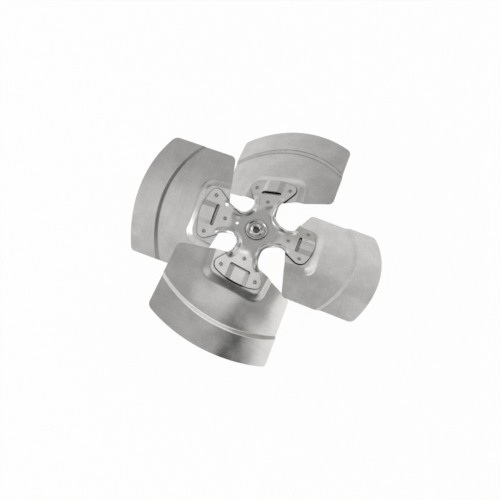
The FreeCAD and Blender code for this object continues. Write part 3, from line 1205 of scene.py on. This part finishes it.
@dataclass(frozen=True)
class Softbox:
    """A square soft lamp that faces the impeller, with its distance and size in metres."""

    name: str
    azimuth: float
    elevation: float
    distance: float
    size: float
    watts: float

    def build(self) -> None:
        """Adds the lamp."""
        data = bpy.data.lights.new(f"softbox_{self.name}", "AREA")
        data.shape = "SQUARE"
        data.size = self.size
        data.energy = self.watts
        lamp = put(data.name, data)
        towards = aimed(self.azimuth, self.elevation)
        lamp.location = towards * self.distance
        lamp.rotation_euler = towards.to_track_quat("Z", "Y").to_euler()
        lamp.visible_camera = False


@dataclass(frozen=True)
class Panel:
    """A soft-edged part of the room's wall or ceiling, lighter or darker than the rest.

    Its place and its reach are angles seen from the impeller.
    """

    azimuth: float
    elevation: float
    reach: float
    level: float


@dataclass
class Studio:
    """Pale floor, soft lamps, a grey room with lighter and darker panels, and the camera.

    Lengths are in metres here, and the panels follow the tones that the photographed metal
    mirrors.
    """

    floor_size: float = 12.0
    floor_colour: str = "#F2F2F2"
    whiteness: float = 0.96
    ceiling_level: float = 0.545
    wall_level: float = 1.045
    camera_place: tuple[float, float, float] = (0.13132, -0.49887, 1.05029)
    camera_turn: tuple[float, float, float] = (23.681, -2.143, 20.797)
    lens: float = 35.82  # millimetres, as is the sensor's width
    sensor_width: float = 36.0
    panels: tuple[Panel, ...] = (
        Panel(50, 20, 25, 0.40), Panel(15, 18, 22, 0.55), Panel(30, 15, 14, 0.15),
        Panel(38, 50, 15, 0.60), Panel(345, 34, 30, -0.60), Panel(320, 55, 28, -0.10),
        Panel(345, 12, 25, -0.30), Panel(300, 30, 30, -0.33), Panel(85, 42, 18, -0.12),
        Panel(120, 50, 20, -0.11), Panel(168, 44, 18, -0.45), Panel(250, 62, 25, 0.36),
        Panel(14, 36, 12, -0.55))
    lamps: tuple[Softbox, ...] = (
        Softbox("right", 50, 42, 2.0, 0.7, 1.1),
        Softbox("left", 208, 22, 2.0, 0.9, 4.2))

    def floor(self) -> None:
        """Adds the floor that the trailing corners of the blades rest on."""
        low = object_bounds()[0][2]
        half = self.floor_size / 2
        mesh = bpy.data.meshes.new("floor")
        corners = [(-half, -half, low), (half, -half, low), (half, half, low), (-half, half, low)]
        mesh.from_pydata(corners, [], [(0, 1, 2, 3)])
        floor = put("floor", mesh)
        material, tree = new_material("pale_floor")
        matt = add(tree, "BsdfDiffuse", {"Color": linear(self.floor_colour)})
        white = add(tree, "Emission", {"Color": WHITE, "Strength": 1.0})
        mixed = add(tree, "MixShader", links={
            "0": self.white_share(tree), "1": matt.outputs[0], "2": white.outputs[0]})
        add(tree, "OutputMaterial", links={"Surface": mixed.outputs[0]})
        mesh.materials.append(material)
        floor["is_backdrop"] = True

    def white_share(self, tree: Tree) -> Socket:
        """Share of plain white that the camera, gloss and glass see, the rest being lit."""
        path = add(tree, "LightPath")
        seen = combined(tree, "MAXIMUM", path.outputs["Is Camera Ray"],
                        path.outputs["Is Glossy Ray"])
        seen = combined(tree, "MAXIMUM", seen, path.outputs["Is Transmission Ray"])
        return combined(tree, "MULTIPLY", seen, self.whiteness)

    def room(self) -> None:
        """Sets the room that the metal mirrors: dim above, lighter low down, with its panels."""
        world = bpy.data.worlds.new("room")
        bpy.context.scene.world = world
        world.use_nodes = True
        tree = world.node_tree
        tree.nodes.clear()
        facing = add(tree, "TexCoord").outputs["Generated"]
        height = add(tree, "SeparateXYZ", links={"0": facing}).outputs["Z"]
        level = ramp(tree, height, 0.0, 1.0, self.wall_level, self.ceiling_level)
        for panel in self.panels:
            centre = aimed(panel.azimuth, panel.elevation)
            nearness = add(tree, "VectorMath", {"operation": "DOT_PRODUCT", "1": centre},
                           {"0": facing}).outputs["Value"]
            part = ramp(tree, nearness, math.cos(math.radians(panel.reach)), 1.0, 0.0, panel.level,
                        "SMOOTHSTEP")
            level = combined(tree, "ADD", level, part)
        lit = combined(tree, "MAXIMUM", level, 0.0)
        back = add(tree, "Background", {"Color": WHITE}, {"Strength": lit})
        add(tree, "OutputWorld", links={"Surface": back.outputs[0]})

    def camera(self) -> None:
        """Adds the camera at the photograph's viewing angle."""
        data = bpy.data.cameras.new("camera")
        data.sensor_width = self.sensor_width
        data.lens = self.lens
        camera = put("camera", data)
        camera.location = self.camera_place
        camera.rotation_euler = Euler([math.radians(angle) for angle in self.camera_turn])
        bpy.context.scene.camera = camera

    def build(self) -> None:
        """Builds the studio."""
        self.floor()
        self.room()
        self.camera()
        for lamp in self.lamps:
            lamp.build()
        bpy.context.scene.view_settings.view_transform = "Standard"
        log.info("studio: %d softboxes", len(self.lamps))


def main() -> None:
    """Builds the dressed impeller and its studio, piece by piece."""
    logging.basicConfig(level=logging.INFO, format="%(message)s")
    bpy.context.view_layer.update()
    arms = ArmFrame()
    Blades(arms).build(RolledAluminium())
    Spider(arms).build(ZincPlate("zinc_plated_pressing"))
    # painted shade in the hub's groove and bore
    Hub().build(ZincPlate("zinc_plated_turning", roughness_low=0.10, roughness_high=0.16,
                          painted_shade=PaintedShade(ZINC_PAINTED_SHADE, reach=20.0, shut=0.30, clear=0.95)))
    # painted shade round the rivets' clinches
    Rivets(arms).build(ZincPlate("zinc_plated_rivet", pale="#B4B3B1", deep="#9A9997",
                                 roughness_low=0.12, roughness_high=0.20,
                                 painted_shade=PaintedShade(ZINC_PAINTED_SHADE, reach=3.0, shut=0.55, clear=0.98)))
    SetScrews().build(BlackOxide())
    Studio().build()


if __name__ == "__main__":
    main()
